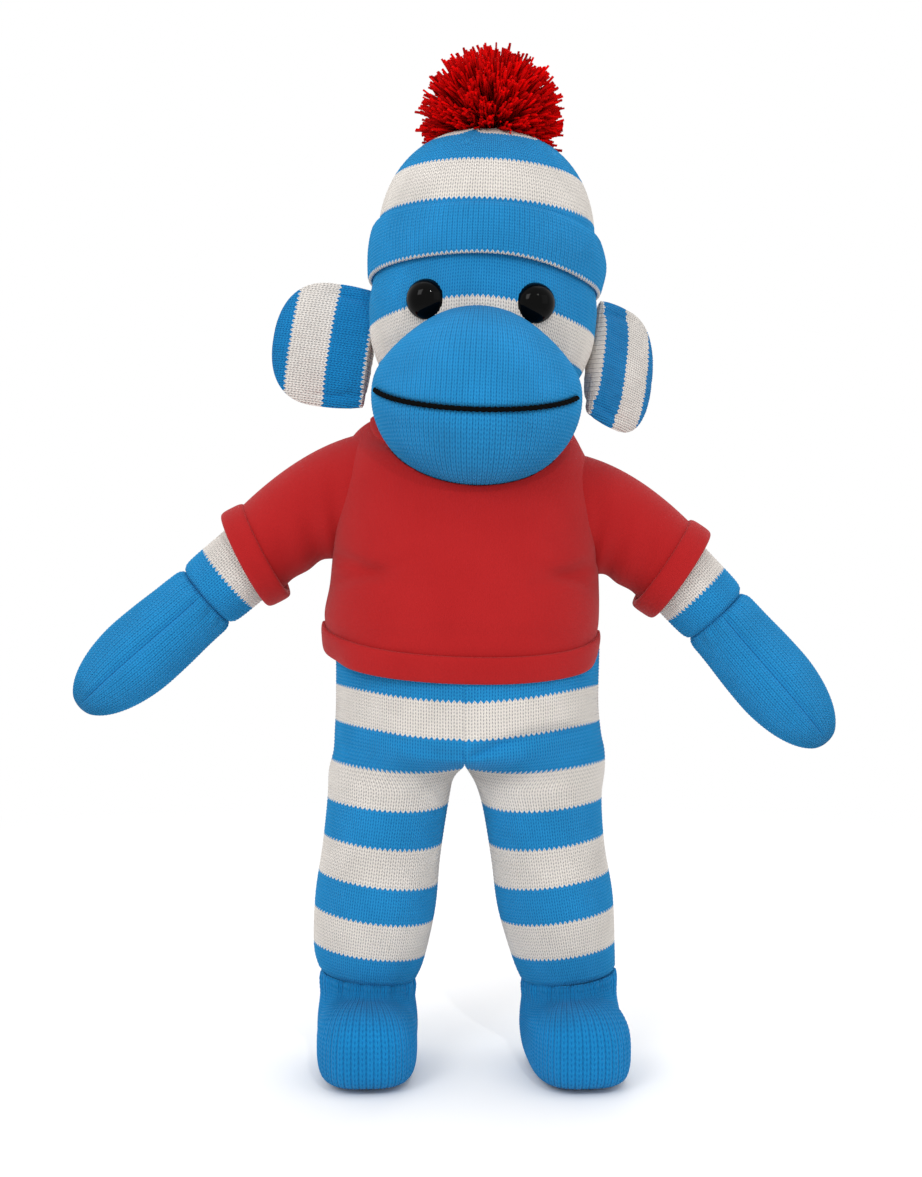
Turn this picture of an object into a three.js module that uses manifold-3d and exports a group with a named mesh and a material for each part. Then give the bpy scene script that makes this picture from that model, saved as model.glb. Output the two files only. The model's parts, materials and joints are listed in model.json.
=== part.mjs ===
// A stuffed knitted monkey in a T-shirt and a turned-up hat with a pompom, standing on its own two feet.
// Millimetres, +Z up. It faces -Y, its left side is +X, and the origin is on the floor under its middle.
// Every soft part is a knitted skin over its own stuffing. Limbs meet their neighbours ball in socket:
// a ball is round about its joint and the neighbour is hollowed around it, so the limb turns freely.
import * as THREE from "three";
import { mergeVertices } from "three/addons/utils/BufferGeometryUtils.js";
import Module from "manifold-3d";

const wasm = await Module();
wasm.setup();

// Driving dimensions
const knit = 1.2; // thickness of the knitted skin, and of the shirt's cloth
const gap = 0.4; // between pieces that lie against each other
const play = 1.5; // between a ball and the hollow it turns in
const around = 12; // sides of a round limb
const aroundHead = 16; // sides of the muzzle and the pompom
const far = 100; // beyond any piece, for cutting

const torso = { bottom: 154, top: 247, depth: 0.8 };
const shirt = { depth: 0.85, hemLow: 154, hemHigh: 163, collarLow: 247, collar: 5 };
const neck = { x: 3.5, y: 4, z: 252, ball: 10 };
const head = { roll: 2.5, turn: -2, width: 44.8, depth: 0.93, top: 113.4 };
const muzzle = { y: -33, z: 8.3, width: 40, depth: 36, height: 33.6, chestRoom: 42 };
const mouth = { corner: 66, drop: 8.4, rise: 8.5 };
const hat = { low: 59, fold: 81, crown: 1.5, cuff: 1.7, lip: 0.8 };
const eye = { x: 20.4, z: 44, radius: 7.5, flat: 0.9, sunk: 1.6, shank: 2.2, reach: 13, washer: 7 };
const ear = { x: 48.2, y: 4, z: 33, length: 22.6, centre: 16.4, height: 24.8, thick: 4.6, droop: 7 };
const pompom = { radius: 29, flat: 0.97, rise: 10.5, tie: 2.5, lift: 1.6 };
const arm = { radius: 16.2, wrist: 72, cut: 9, wristBall: 12.8, hand: 66, handDepth: 0.9, seam: 13.5 };
const sleeve = { proud: 4.2, cuffEnd: 52, cuff: 9.5 };
const leg = { hipX: 27.5, hipZ: 128, ball: 24, ankleX: 39, ankleZ: 36, ankleBall: 18.6, cut: 12 };
const foot = { width: 20, length: 29, height: 19, ahead: 13, centre: 16.5 };
const thread = { thick: 0.7, neck: 0.9, mouth: 1.1 };

// The arms hang below the horizontal and the ears are swept back, a little differently on each side.
const sides = [
  { name: "left", sign: 1, shoulderX: 49, shoulderZ: 230, armDown: 46, earBack: 52 },
  { name: "right", sign: -1, shoulderX: 50, shoulderZ: 232, armDown: 40, earBack: 10 },
];
const shoulderY = 3;
const armLowest = 61; // degrees below the horizontal that an arm can be lowered to

const finishes = {
  blue: [0x1b86c9, 0.9],
  cream: [0xdcd6ce, 0.9],
  red: [0xb52222, 0.85],
  yarn: [0xb00408, 0.8],
  wool: [0x080808, 0.8],
  black: [0x050505, 0.12],
  fill: [0xf2efe8, 0.95],
  thread: [0x1f5fa8, 0.7],
  plastic: [0xe4e2da, 0.5],
};
for (const [name, [color, roughness]] of Object.entries(finishes)) {
  finishes[name] = new THREE.MeshStandardMaterial({ color, roughness, metalness: 0 });
}

function radians(degrees) {
  return (degrees * Math.PI) / 180;
}

// Closed geometry to a manifold solid and back.
function solidOf(geometry) {
  const bare = geometry.clone();
  bare.deleteAttribute("normal");
  bare.deleteAttribute("uv");
  const merged = mergeVertices(bare, 1e-4);
  return new wasm.Manifold(
    new wasm.Mesh({
      numProp: 3,
      vertProperties: new Float32Array(merged.attributes.position.array),
      triVerts: new Uint32Array(merged.index.array),
    }),
  );
}

function geometryOf(solid) {
  const mesh = solid.getMesh();
  const points = new Float32Array(mesh.numVert * 3);
  for (let i = 0; i < mesh.numVert; i++) {
    points.set(mesh.vertProperties.subarray(i * mesh.numProp, i * mesh.numProp + 3), i * 3);
  }
  const geometry = new THREE.BufferGeometry();
  geometry.setAttribute("position", new THREE.BufferAttribute(points, 3));
  geometry.setIndex(new THREE.BufferAttribute(new Uint32Array(mesh.triVerts), 1));
  geometry.computeVertexNormals();
  return geometry;
}

function named(name, solid, finish) {
  const mesh = new THREE.Mesh(geometryOf(solid), finishes[finish]);
  mesh.name = name;
  return mesh;
}

// Outlines are [radius, height] points from the lowest to the highest. A curve is drawn through them.
function smooth(outline, rows) {
  const points = outline.map(([r, z]) => new THREE.Vector2(r, z));
  return new THREE.SplineCurve(points).getPoints(rows).map((p) => [Math.max(p.x, 0), p.y]);
}

// A round end: an arc about the outline's height zero, up to an angle, which closes on the axis at 90.
function roundEnd(radius, degrees, steps = 3) {
  const arc = [];
  for (let i = 1; i <= steps; i++) {
    const angle = radians((degrees * i) / steps);
    arc.push([degrees === 90 && i === steps ? 0 : radius * Math.cos(angle), radius * Math.sin(angle)]);
  }
  return arc;
}

// The outline moved inwards along its own normal. Its ends on the axis stay on it.
function inset(outline, by) {
  return outline.map(([r, z], i) => {
    if (r === 0) return [0, z + (i ? -by : by)];
    const [r0, z0] = outline[Math.max(i - 1, 0)];
    const [r1, z1] = outline[Math.min(i + 1, outline.length - 1)];
    const long = Math.hypot(r1 - r0, z1 - z0);
    return [Math.max(r - (by * (z1 - z0)) / long, 0.2), z + (by * (r1 - r0)) / long];
  });
}

// An outline that ends flat gets its end faces, down to the axis.
function closed(outline) {
  const low = outline[0];
  const high = outline[outline.length - 1];
  const start = low[0] > 0 ? [[0, low[1]]] : [];
  const end = high[0] > 0 ? [[0, high[1]]] : [];
  return [...start, ...outline, ...end];
}

// An outline turned about Z, and flattened front to back by depth.
function turned(outline, depth = 1) {
  const points = outline.map(([r, z]) => new THREE.Vector2(r, z));
  const geometry = new THREE.LatheGeometry(points, around);
  geometry.rotateX(Math.PI / 2);
  geometry.scale(1, depth, 1);
  return solidOf(geometry);
}

function egg(radii, centre, sideCount = around) {
  const geometry = new THREE.SphereGeometry(1, sideCount, Math.round(sideCount * 0.6));
  geometry.scale(...radii);
  geometry.translate(...centre);
  return solidOf(geometry);
}

function ball(radius, centre = [0, 0, 0]) {
  return egg([radius, radius, radius], centre);
}

function rod(radius, from, to) {
  const a = new THREE.Vector3(...from);
  const b = new THREE.Vector3(...to);
  const geometry = new THREE.CylinderGeometry(radius, radius, a.distanceTo(b), 12);
  const way = b.clone().sub(a).normalize();
  geometry.applyQuaternion(new THREE.Quaternion().setFromUnitVectors(new THREE.Vector3(0, 1, 0), way));
  const middle = a.add(b).multiplyScalar(0.5);
  geometry.translate(middle.x, middle.y, middle.z);
  return solidOf(geometry);
}

function block(low, high) {
  const size = high.map((v, i) => v - low[i]);
  const geometry = new THREE.BoxGeometry(...size);
  geometry.translate(...low.map((v, i) => v + size[i] / 2));
  return solidOf(geometry);
}

// A ring of thread about Z, and the radius at which it lies when it is tied around a faceted ball.
function threadRing(radius, thick, z = 0, depth = 1) {
  const geometry = new THREE.TorusGeometry(radius, thick, 4, around);
  geometry.scale(1, depth, 1);
  geometry.translate(0, 0, z);
  return solidOf(geometry);
}

function tied(radius, thick) {
  return (radius + gap) / Math.cos(Math.PI / around) + thick;
}

// A skin and the stuffing inside it. The skin's hole is at the limb's root, the socket at its far end.
function stuffedLimb(outline, depth, hole, socket) {
  const whole = closed(outline);
  let skin = turned(whole, depth).subtract(turned(inset(whole, knit), depth)).subtract(hole);
  let stuffing = turned(inset(whole, knit + gap), depth);
  if (socket) {
    skin = skin.subtract(socket);
    stuffing = stuffing.subtract(socket);
  }
  return { skin, stuffing };
}

const monkey = new THREE.Group();

// The room at each shoulder: a ball about the joint, and the cone that the arm sweeps.
function shoulderRoom(side) {
  const slope = radians(armLowest);
  const radius = arm.radius + sleeve.proud + play;
  const long = 60;
  const section = [
    new THREE.Vector2(0, 0),
    new THREE.Vector2(long * Math.tan(slope), long),
    new THREE.Vector2(0, long),
  ];
  const cone = new THREE.LatheGeometry(section, around);
  cone.rotateZ(-Math.PI / 2);
  cone.translate(-radius / Math.sin(slope), 0, 0);
  if (side.sign < 0) cone.rotateZ(Math.PI);
  const centre = [side.sign * side.shoulderX, shoulderY, side.shoulderZ];
  cone.translate(...centre);
  return solidOf(cone).add(ball(radius, centre));
}

// Cloth of the knit's thickness along an outline, open at its top and bottom.
function clothTube(outline, depth) {
  const lining = outline.map(([r, z]) => [r - knit, z]);
  lining[0][1] -= 5;
  lining[lining.length - 1][1] += 5;
  return turned(closed(outline), depth).subtract(turned(closed(lining), depth));
}

function makeTorso() {
  const outline = smooth(
    [[44, torso.bottom], [47, 168], [45, 195], [37, 222], [25, 237], [14, torso.top]], 5,
  );
  const core = outline.map(([r, z]) => [r - knit - gap, z]);
  const shoulders = shoulderRoom(sides[0]).add(shoulderRoom(sides[1]));
  const room = shoulders.add(ball(neck.ball + play, [neck.x, neck.y, neck.z]));
  monkey.add(named("torso_skin", clothTube(outline, torso.depth).subtract(room), "cream"));
  monkey.add(named("torso_stuffing", turned(closed(core), torso.depth).subtract(room), "fill"));

  const cloth = smooth(
    [[53.5, shirt.hemHigh], [52.5, 180], [47, 205], [38, 227], [24, shirt.collarLow]], 5,
  );
  monkey.add(named("shirt_body", clothTube(cloth, shirt.depth).subtract(shoulders), "red"));

  const high = shirt.hemHigh - gap;
  const low = shirt.hemLow;
  const hem = [[51.8, low], [54.2, low], [54.8, high - 2], [54, high], [51.8, high], [51.8, low]];
  monkey.add(named("shirt_hem", turned(hem, shirt.depth), "red"));

  const base = shirt.collarLow + gap;
  const top = base + shirt.collar;
  const collar = turned([[19.4, base], [23, base], [22, top], [20.4, top], [19.4, base]], 0.95);
  monkey.add(named("shirt_collar", collar.translate([neck.x / 2, 0.5, 0]), "red"));
}

// The neck is a ball of stuffing and the gathering thread, on the axes that the head turns about.
function makeNeck() {
  const group = new THREE.Group();
  group.position.set(neck.x, neck.y, neck.z);
  const ring = threadRing(tied(neck.ball, thread.neck), thread.neck);
  group.add(named("neck_stuffing", ball(neck.ball), "fill"));
  group.add(named("neck_thread", ring, "thread"));
  monkey.add(group);
}

// The head's own frame has its origin at the neck, and holds the muzzle, eyes, hat, ears and pompom.
const headOutline = smooth(
  [[0, 5.5], [15, 6.5], [31, 17], [41, 34], [head.width, 52], [43.4, 70], [37.6, 89], [24, 105],
    [0, head.top]], 9,
);

function headShape(out = 0) {
  return turned(inset(headOutline, -out), head.depth);
}

// A safety eye: a dome on a shank, held by a washer inside the skin. Its holes are a gap wider all round.
function eyeParts(sign) {
  const x = sign * eye.x;
  const { z } = eye;
  const front = 1.2 - head.depth * Math.sqrt(head.width ** 2 - eye.x ** 2);
  const washerFront = front + 5.4;
  const washerBack = washerFront + 1.6;
  const dome = (more) => {
    const reach = eye.radius + more;
    const flat = block([x - far, -far, z - far], [x + far, front - eye.sunk + more, z + far]);
    return egg([reach, reach * eye.flat, reach], [x, front, z]).intersect(flat);
  };
  const shank = (more) => rod(eye.shank + more, [x, front - 4, z], [x, front + eye.reach + more, z]);
  const disc = (more) => rod(eye.washer + more, [x, washerFront - more, z], [x, washerBack + more, z]);
  return {
    button: dome(0).add(shank(0)),
    washer: disc(0).subtract(rod(eye.shank + 0.2, [x, front, z], [x, front + eye.reach, z])),
    hole: shank(gap).add(disc(gap)).add(dome(gap)),
    seat: dome(gap),
  };
}

function makeHead(group) {
  const neckRoom = ball(tied(neck.ball, thread.neck) + thread.neck + play);
  let skin = headShape().subtract(headShape(-knit)).subtract(neckRoom);
  let stuffing = headShape(-knit - gap).subtract(neckRoom);
  for (const side of sides) {
    const parts = eyeParts(side.sign);
    skin = skin.subtract(parts.hole);
    stuffing = stuffing.subtract(parts.hole);
    group.add(named(`${side.name}_eye`, parts.button, "black"));
    group.add(named(`${side.name}_eye_washer`, parts.washer, "plastic"));
  }
  group.add(named("head_skin", skin, "cream"));
  group.add(named("head_stuffing", stuffing, "fill"));
}

// The muzzle is sewn on the front of the head, and cut back where the chest passes as the head turns.
function makeMuzzle(group) {
  const reach = muzzle.chestRoom;
  const chest = turned([[0, -60], [reach, -60], [reach, -12], [25, 7], [20, 13], [0, 13]]);
  const taken = headShape(gap).add(chest).add(eyeParts(1).seat).add(eyeParts(-1).seat);
  const shape = (less) => {
    const radii = [muzzle.width - less, muzzle.depth - less, muzzle.height - less];
    return egg(radii, [0, muzzle.y, muzzle.z], aroundHead);
  };
  group.add(named("muzzle_skin", shape(0).subtract(shape(knit)).subtract(taken), "blue"));
  group.add(named("muzzle_stuffing", shape(knit + gap).subtract(taken), "fill"));

  // The mouth is a yarn that lies on the muzzle and rises from its middle to each corner.
  const lie = thread.mouth + gap;
  const points = [];
  for (let part = -1; part < 1.01; part += 0.2) {
    const angle = radians(mouth.corner * part);
    const up = mouth.rise * part ** 2 - mouth.drop;
    const level = Math.sqrt(1 - (up / muzzle.height) ** 2);
    const x = (muzzle.width + lie) * level * Math.sin(angle);
    const y = muzzle.y - (muzzle.depth + lie) * level * Math.cos(angle);
    points.push(new THREE.Vector3(x, y, muzzle.z + up));
  }
  const section = new THREE.Shape().absarc(0, 0, thread.mouth, 0, 2 * Math.PI);
  const line = new THREE.ExtrudeGeometry(section, {
    steps: 16,
    curveSegments: 3,
    bevelEnabled: false,
    extrudePath: new THREE.CatmullRomCurve3(points),
  });
  group.add(named("mouth_yarn", solidOf(line).subtract(headShape(gap)), "wool"));
}

// The hat is a knitted crown over the skull, and its edge turned up as a cuff.
function makeHat(group) {
  const below = (z) => block([-far, -far, -far], [far, far, z]);
  const above = block([-far, -far, hat.fold], [far, far, hat.fold + far]);
  const crown = headShape(gap + hat.crown).subtract(headShape(gap)).subtract(below(hat.low));
  const cuffSeat = 2 * gap + hat.crown;
  const cuff = headShape(cuffSeat + hat.cuff).subtract(headShape(cuffSeat));
  group.add(named("hat_crown", crown, "blue"));
  group.add(named("hat_cuff", cuff.subtract(above).subtract(below(hat.low - hat.lip)), "blue"));
}

// The pompom is a ball of yarn that stands on its tie, and is cut flat so that it can wobble on the crown.
function makePompom(group) {
  const seat = head.top + gap + hat.crown;
  const centre = seat + pompom.rise;
  const cut = block([-far, -far, -far], [far, far, seat + pompom.lift]);
  const tieTop = centre + 4;
  const hole = rod(pompom.tie + gap, [0, 0, seat - 20], [0, 0, tieTop + gap]);
  const radii = [pompom.radius, pompom.radius, pompom.radius * pompom.flat];
  const yarn = egg(radii, [0, 0, centre], aroundHead).subtract(cut).subtract(hole);
  group.add(named("pompom_yarn", yarn, "yarn"));
  group.add(named("pompom_tie", rod(pompom.tie, [0, 0, seat + 0.7], [0, 0, tieTop]), "yarn"));
}

// An ear is a flat round pad, open where it is sewn to the head. It points along its own +X.
function makeEar(group, side) {
  const own = new THREE.Group();
  const shape = (less, from) => {
    const radii = [ear.length - less, ear.thick - less, ear.height - less];
    return egg(radii, [ear.centre, 0, 0]).intersect(block([from, -far, -far], [far, far, far]));
  };
  const hollow = egg([ear.length - knit, ear.thick - knit, ear.height - knit], [ear.centre, 0, 0]);
  own.add(named(`${side.name}_ear_skin`, shape(0, 0).subtract(hollow), "cream"));
  own.add(named(`${side.name}_ear_pad`, shape(knit + gap, 0.6), "fill"));
  own.position.set(side.sign * ear.x, ear.y, ear.z);
  const outward = side.sign > 0 ? 0 : 180;
  own.rotation.z = radians(outward + side.sign * side.earBack);
  own.children.forEach((mesh) => mesh.geometry.rotateY(radians(side.sign * ear.droop)));
  group.add(own);
}

// An arm points along its own -Z. The sleeve and its cuff go with it, and the hand turns at the wrist.
function makeArm(side) {
  const group = new THREE.Group();
  group.position.set(side.sign * side.shoulderX, shoulderY, side.shoulderZ);
  group.rotation.y = -side.sign * radians(90 - side.armDown);
  const t = arm.radius;
  const end = arm.cut - arm.wrist;
  const outline = smooth([[t - 0.8, end], [t - 0.4, end + 16], [t, -34], [t + 0.2, -14], [t, 0]], 4);
  const socket = ball(arm.wristBall + play, [0, 0, -arm.wrist]);
  const made = stuffedLimb([...outline, ...roundEnd(t, 90)], 1, rod(9, [0, 0, 5], [0, 0, far]), socket);
  group.add(named(`${side.name}_arm_skin`, made.skin, "cream"));
  group.add(named(`${side.name}_arm_stuffing`, made.stuffing, "fill"));
  group.add(makeHand(side));
  makeSleeve(group, side);
  monkey.add(group);

  // The arm's root is sewn to the body with a ring of stitches, on the inner side of the arm's ball.
  const radius = Math.sqrt((t + 2 * thread.thick) ** 2 - arm.seam ** 2);
  const sewing = new THREE.TorusGeometry(radius, thread.thick, 4, around);
  sewing.rotateY(Math.PI / 2);
  sewing.translate(side.sign * (side.shoulderX - arm.seam), shoulderY, side.shoulderZ);
  monkey.add(named(`${side.name}_shoulder_thread`, solidOf(sewing), "thread"));
}

// The sleeve's head is round about the shoulder and open towards the body, and its end is a folded cuff.
function makeSleeve(group, side) {
  const outside = arm.radius + sleeve.proud;
  const cuffTop = sleeve.cuff - sleeve.cuffEnd;
  const cloth = [[outside - 0.6, cuffTop], [outside, 0], ...roundEnd(outside, 51)];
  const shrink = 1 - knit / outside;
  const lining = cloth.map(([r, z]) => [r * shrink, z > 0 ? z * shrink : z]).reverse();
  group.add(named(`${side.name}_sleeve`, turned([...cloth, ...lining, cloth[0]]), "red"));

  const inner = arm.radius + 1.6;
  const low = -sleeve.cuffEnd;
  const high = cuffTop - gap;
  const cuff = [[inner, low], [inner + 2, low], [inner + 2.6, low + 1.5], [inner + 2.6, high - 1],
    [inner + 2, high], [inner, high], [inner, low]];
  group.add(named(`${side.name}_sleeve_cuff`, turned(cuff), "red"));
}

// A hand is a mitten: a ball at the wrist, widest in the middle, and a blunt tip.
function makeHand(side) {
  const hand = new THREE.Group();
  hand.position.z = -arm.wrist;
  const w = arm.wristBall;
  const h = arm.hand;
  const outline = smooth(
    [[0, -h], [5.5, 1.6 - h], [11.5, 9 - h], [15.6, 24 - h], [16.2, -0.45 * h], [w + 0.4, -9], [w, 0]], 6,
  );
  const hole = rod(8, [0, 0, 6], [0, 0, far]);
  const made = stuffedLimb([...outline, ...roundEnd(w, 90)], arm.handDepth, hole);
  const ring = threadRing(tied(w, thread.thick), thread.thick, -3.5, 0.95);
  hand.add(named(`${side.name}_hand_skin`, made.skin, "blue"));
  hand.add(named(`${side.name}_hand_stuffing`, made.stuffing, "fill"));
  hand.add(named(`${side.name}_wrist_thread`, ring, "thread"));
  return hand;
}

// A leg is a ball at the hip and a straight tube along its own -Z, hollowed around the foot's ball.
function makeLeg(side) {
  const across = leg.ankleX - leg.hipX;
  const down = leg.hipZ - leg.ankleZ;
  const long = Math.hypot(across, down);
  const group = new THREE.Group();
  group.position.set(side.sign * leg.hipX, 0, leg.hipZ);
  group.rotation.y = -side.sign * Math.atan2(across, down);
  const b = leg.ball;
  const end = leg.cut - long;
  const outline = smooth(
    [[21, end], [22.3, end + 14], [22.8, end + 34], [23.2, -38], [23.6, -16], [b, 0]], 4,
  );
  const socket = ball(leg.ankleBall + play, [0, 0, -long]);
  const made = stuffedLimb([...outline, ...roundEnd(b, 90)], 1, rod(13, [0, 0, 5], [0, 0, far]), socket);
  group.add(named(`${side.name}_leg_skin`, made.skin, "cream"));
  group.add(named(`${side.name}_leg_stuffing`, made.stuffing, "fill"));
  monkey.add(group);
}

// A foot is the ankle's ball, the heel and the toe in one, and stands on its flat sole.
function makeFoot(side) {
  const group = new THREE.Group();
  group.position.set(side.sign * leg.ankleX, 0, 0);
  const shape = (less) => {
    const round = leg.ankleBall - less;
    const toe = [foot.width - less, foot.length - less, foot.height - less];
    return ball(round, [0, 0, leg.ankleZ])
      .add(ball(round, [0, 1, foot.centre]))
      .add(egg(toe, [0, -foot.ahead, foot.centre]))
      .intersect(block([-far, -far, less], [far, far, 2 * far]));
  };
  const hole = rod(10, [0, 0, leg.ankleZ + 10], [0, 0, far]);
  const ring = threadRing(tied(leg.ankleBall, thread.thick), thread.thick, leg.ankleZ + 2);
  group.add(named(`${side.name}_foot_skin`, shape(0).subtract(shape(knit)).subtract(hole), "blue"));
  group.add(named(`${side.name}_foot_stuffing`, shape(knit + gap), "fill"));
  group.add(named(`${side.name}_ankle_thread`, ring, "thread"));
  monkey.add(group);
}

makeTorso();
makeNeck();

const headGroup = new THREE.Group();
headGroup.position.set(neck.x, neck.y, neck.z);
headGroup.rotation.set(0, radians(head.roll), radians(head.turn));
makeHead(headGroup);
makeMuzzle(headGroup);
makeHat(headGroup);
makePompom(headGroup);
monkey.add(headGroup);

for (const side of sides) {
  makeEar(headGroup, side);
  makeArm(side);
  makeLeg(side);
  makeFoot(side);
}

// The origin goes on the floor, under the middle of the whole monkey.
const middle = new THREE.Box3().setFromObject(monkey, true).getCenter(new THREE.Vector3());
monkey.position.set(-middle.x, -middle.y, 0);

export default monkey;
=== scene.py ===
import json
import math
from functools import partial

import bpy
import numpy as np
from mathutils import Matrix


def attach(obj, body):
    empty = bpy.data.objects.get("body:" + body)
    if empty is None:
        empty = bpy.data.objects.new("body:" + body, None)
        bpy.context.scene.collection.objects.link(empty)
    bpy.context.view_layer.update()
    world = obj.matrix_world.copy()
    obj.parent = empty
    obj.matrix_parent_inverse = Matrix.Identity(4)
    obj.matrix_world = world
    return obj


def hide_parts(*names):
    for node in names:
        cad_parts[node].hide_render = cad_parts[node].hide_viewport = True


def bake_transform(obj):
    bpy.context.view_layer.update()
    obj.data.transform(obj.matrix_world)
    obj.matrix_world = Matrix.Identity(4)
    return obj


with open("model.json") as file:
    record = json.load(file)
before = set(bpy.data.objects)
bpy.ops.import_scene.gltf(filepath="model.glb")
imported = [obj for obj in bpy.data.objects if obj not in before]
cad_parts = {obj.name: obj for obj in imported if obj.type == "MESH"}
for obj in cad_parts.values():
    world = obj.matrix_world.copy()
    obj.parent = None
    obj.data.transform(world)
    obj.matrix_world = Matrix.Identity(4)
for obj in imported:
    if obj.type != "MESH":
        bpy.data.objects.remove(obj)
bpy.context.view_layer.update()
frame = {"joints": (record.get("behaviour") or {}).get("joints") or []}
scene = bpy.context.scene
jointAt = {joint["name"]: np.array(joint["pos_m"]) * 1000 for joint in frame["joints"]}

# Everything below is worked out in millimetres and put into the meshes in metres.
# The monkey faces -Y and its left side is +X. middle is the place of its own axis in the frame.
middle = jointAt["left_hip_swing"] - np.array([27.5, 0, 128.0])

# A wale is a column of stitches and a course is a row of them. A stitch stands up by relief and climbs by
# slant courses, an edge between two yarns steps by tooth courses, and a stripe has stripe courses. perWale
# and perCourse say how fine the meshes are.
knit = {"wale": 1.9, "course": 1.33, "relief": 0.42, "slant": 1.5, "tooth": 1.0, "stripe": 11, "perWale": 4,
        "perCourse": 2.6}


def smoothStep(x, low, high):
    # 0 below low and 1 above high, 3t^2 - 2t^3 between
    t = np.clip((x - low) / (high - low), 0, 1)
    return t * t * (3 - 2 * t)


def bump(x, centre, width):
    # a bell: e to the minus square of the distance from the centre in widths
    return np.exp(-(((x - centre) / width) ** 2))


def lengthAlong(line):
    # distance from the line's first point to each of its points
    return np.concatenate([[0], np.cumsum(np.linalg.norm(np.diff(line, axis=0), axis=1))])


def lengthRound(ring):
    # the same distance round a closed ring, back to its first point
    return lengthAlong(np.vstack([ring, ring[:1]]))


def throughPoints(points, count):
    # Catmull-Rom curve through the points, then count points an even way apart along it
    p = np.array(points, float)
    p = np.vstack([2 * p[0] - p[1], p, 2 * p[-1] - p[-2]])
    t = np.linspace(0, len(points) - 1, 60 * len(points))
    i = np.minimum(t.astype(int), len(points) - 2)
    f = (t - i)[:, None]
    a, b, c, d = p[i], p[i + 1], p[i + 2], p[i + 3]
    curve = 0.5 * (2 * b + (c - a) * f + (2 * a - 5 * b + 4 * c - d) * f**2 + (3 * b - 3 * c + d - a) * f**3)
    along = lengthAlong(curve)
    even = np.linspace(0, along[-1], count)
    return np.stack([np.interp(even, along, curve[:, k]) for k in range(p.shape[1])], axis=1)


def turnedAbout(axis, degrees):
    # rotation matrix about Y or Z
    c, s = math.cos(math.radians(degrees)), math.sin(math.radians(degrees))
    return {
        "y": np.array([[c, 0, s], [0, 1, 0], [-s, 0, c]]),
        "z": np.array([[c, -s, 0], [s, c, 0], [0, 0, 1]]),
    }[axis]


def placed(points, turn, at):
    # every point turned by the matrix and then moved
    return points @ turn.T + at


def unit(vectors):
    # each vector divided by its length
    return vectors / np.linalg.norm(vectors, axis=-1, keepdims=True)


def ringAngles(cols):
    # from the back, round by +X, to the front and back again
    return np.arange(cols) * 2 * np.pi / cols


def ringTube(across, deep, height, cols):
    # rings of (across sin a, deep cos a), one at each height
    a = ringAngles(cols)
    x = across[:, None] * np.sin(a)
    return np.stack([x, deep[:, None] * np.cos(a), np.broadcast_to(height[:, None], x.shape)], axis=-1)


def toAxis(row):
    # a row drawn in to the Z axis, to close a tube with
    return row * [0, 0, 1]


def toMiddle(row):
    # a row drawn in to its own middle
    return row.mean(axis=1, keepdims=True) + 0 * row


def gridNormals(points):
    # cross product of the way round a row and the way up the columns, turned away from the grid's middle
    across = np.roll(points, -1, axis=1) - np.roll(points, 1, axis=1)
    normal = np.cross(across, np.gradient(points, axis=0))
    normal = normal / np.maximum(np.linalg.norm(normal, axis=2, keepdims=True), 1e-9)
    out = points - points.mean(axis=(0, 1))
    return normal if (normal * out).sum() > 0 else -normal


def newPiece(name, vertices, corners, sizes, material):
    # a mesh from its vertices, its faces' corners one after another, and how many corners each face has
    mesh = bpy.data.meshes.new(name)
    mesh.vertices.add(len(vertices))
    mesh.vertices.foreach_set("co", (vertices / 1000).astype(np.float32).ravel())
    mesh.loops.add(len(corners))
    mesh.loops.foreach_set("vertex_index", corners.astype(np.int32))
    mesh.polygons.add(len(sizes))
    mesh.polygons.foreach_set("loop_start", np.concatenate([[0], np.cumsum(sizes)[:-1]]).astype(np.int32))
    mesh.update(calc_edges=True)
    mesh.materials.append(material)
    obj = bpy.data.objects.new(name, mesh)
    scene.collection.objects.link(obj)
    return obj


def gridUv(around, up):
    # a UV pair for every grid point from the value of its column and the value of its row
    return np.stack(np.broadcast_arrays(around[None], up[:, None]), axis=-1)


def gridMesh(name, points, uv, material, loop=False, poles=False):
    # Quads between neighbouring grid points, each row closed to a ring. With loop the last row joins the
    # first; with poles the first and last rows become one point each, with triangles round it.
    vertices = points.reshape(-1, 3)
    ids = np.arange(len(vertices)).reshape(points.shape[:2])
    if poles:
        body = points[1:-1]
        ids = np.arange(body.shape[0] * body.shape[1]).reshape(body.shape[:2])
        vertices = np.vstack([body.reshape(-1, 3), points[0, :1], points[-1, :1]])
        ids = np.vstack([0 * ids[:1] + ids.size, ids, 0 * ids[:1] + ids.size + 1])
    if loop:
        ids = np.vstack([ids, ids[:1]])
    beside = np.roll(ids, -1, axis=1)
    corners = np.stack([ids[:-1], beside[:-1], beside[1:], ids[1:]], axis=-1)
    uvCorners = np.stack([uv[:-1, :-1], uv[:-1, 1:], uv[1:, 1:], uv[1:, :-1]], axis=-2)
    keep = np.ones(corners.shape, bool)
    if poles:
        keep[0, :, 1] = False
        keep[-1, :, 3] = False
    # six times the volume inside, which is below nothing when the faces point inwards
    p = vertices[corners] - vertices.mean(axis=0)
    volume = (p[..., 0, :] * np.cross(p[..., 1, :], p[..., 2, :])).sum()
    volume += (p[..., 0, :] * np.cross(p[..., 2, :], p[..., 3, :])).sum()
    if volume < 0:
        corners, keep, uvCorners = corners[..., ::-1], keep[..., ::-1], uvCorners[..., ::-1, :]
    obj = newPiece(name, vertices, corners[keep], keep.sum(axis=-1).ravel(), material)
    layer = obj.data.uv_layers.new(name="stitches")
    layer.data.foreach_set("uv", uvCorners[keep].astype(np.float32).ravel())
    obj.data.polygons.foreach_set("use_smooth", np.ones(len(obj.data.polygons), bool))
    obj.data.validate()
    return obj


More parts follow.
